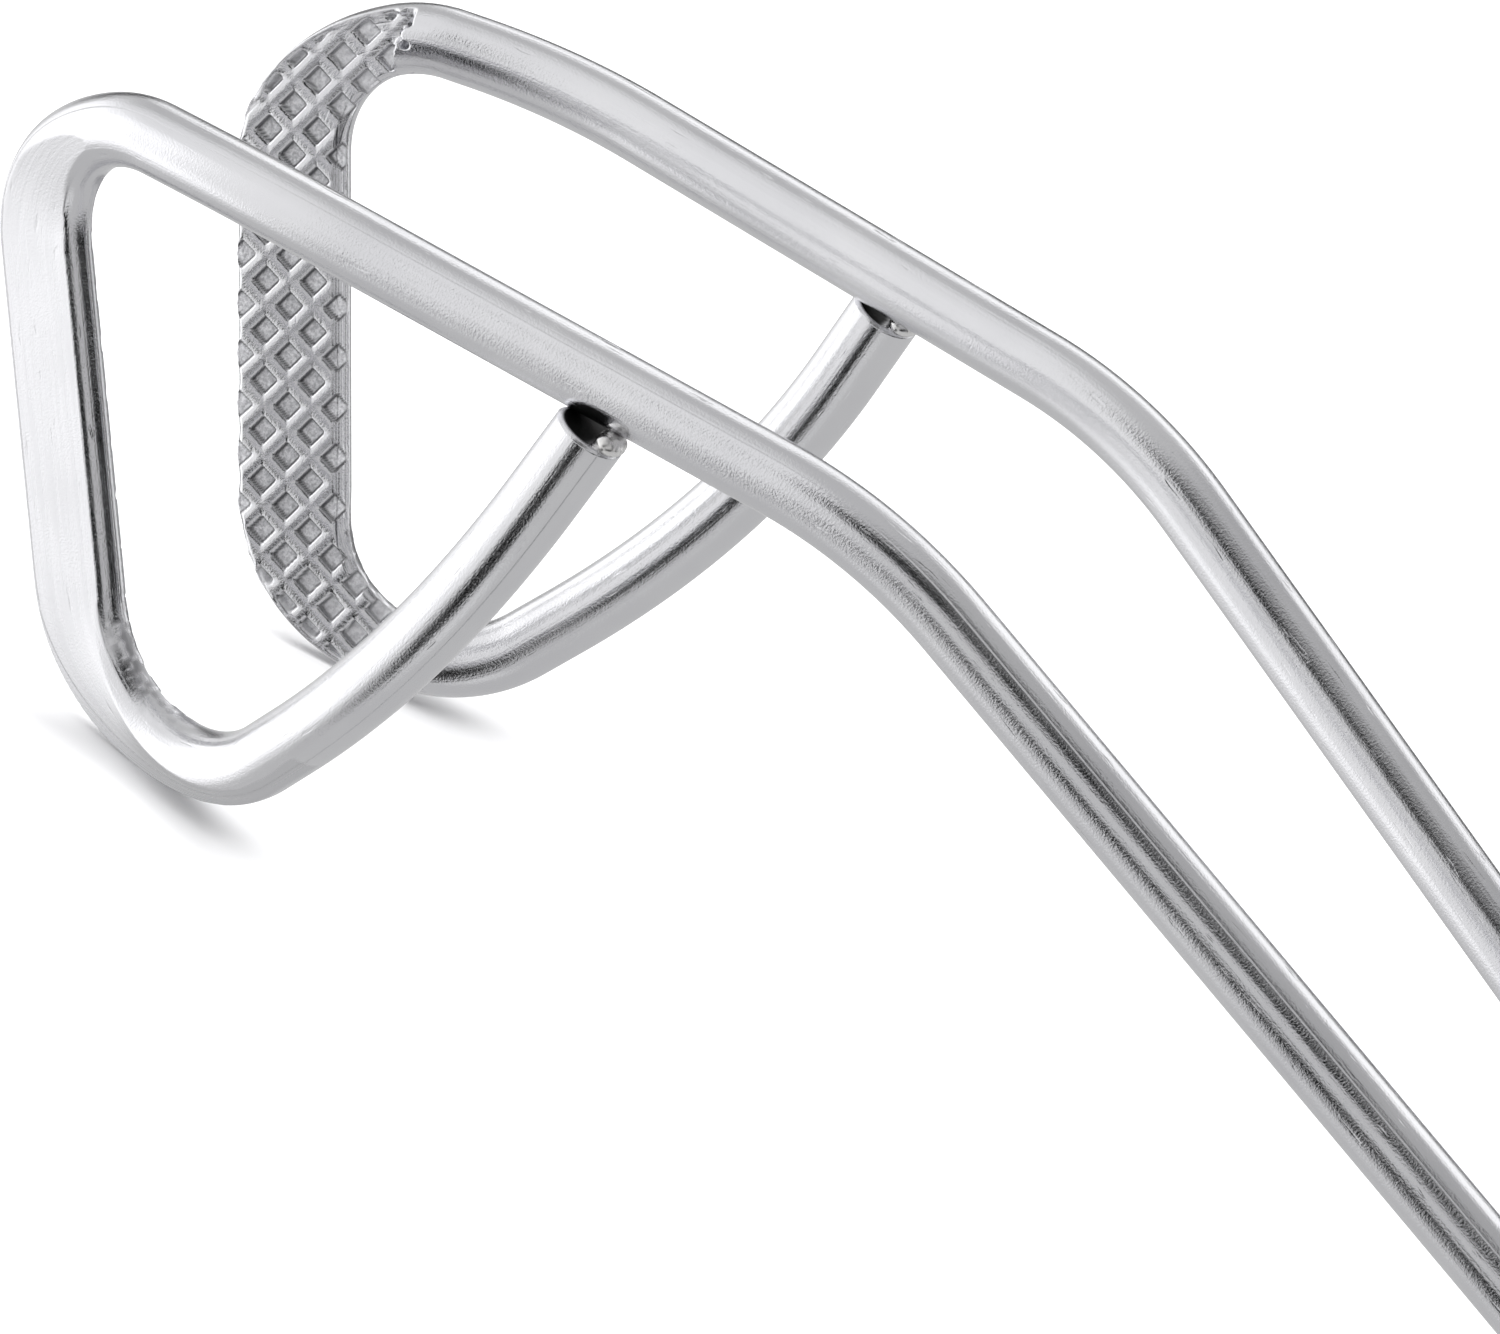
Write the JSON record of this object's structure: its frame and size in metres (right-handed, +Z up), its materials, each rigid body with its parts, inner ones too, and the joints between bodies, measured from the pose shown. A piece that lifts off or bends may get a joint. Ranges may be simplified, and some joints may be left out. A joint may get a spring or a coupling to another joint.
{
  "type": "beehive frame grip",
  "caption": "Hinged spring-loaded grip bent from steel rod, with flattened cross-cut jaws for lifting a frame out of a beehive.",
  "frame": {"origin": "middle of the bounding box in X and Y, on the floor that the grip stands on", "axes": "+X across the grip to the left half, +Y from the jaws to the hinge, +Z up"},
  "size_m": [0.0756, 0.2462, 0.0744],
  "materials": {
    "satin_stainless": "satin",
    "weld_bead": "as welded, matte",
    "turned_stainless": "turned, satin",
    "spring_wire": "drawn, smooth"
  },
  "bodies": {
    "left_half": {"left_rod": "satin_stainless", "left_strut_weld": "weld_bead", "hinge_rivet": "turned_stainless", "upper_washer": "turned_stainless", "lower_washer": "turned_stainless", "spacer_sleeve": "turned_stainless", "torsion_spring": "spring_wire"},
    "right_half": {"right_rod": "satin_stainless", "right_strut_weld": "weld_bead"}
  },
  "joints": [
    {"name": "jaw_hinge", "type": "hinge", "parent": "left_half", "child": "right_half", "pos_m": [0, 0.11311, 0.01153], "axis": [0, 0.4182, 0.9083], "range_deg": [0, 11], "stiffness_Nm_per_rad": 0.54, "springref_deg": -3.44, "deforming": ["torsion_spring"]}
  ]
}
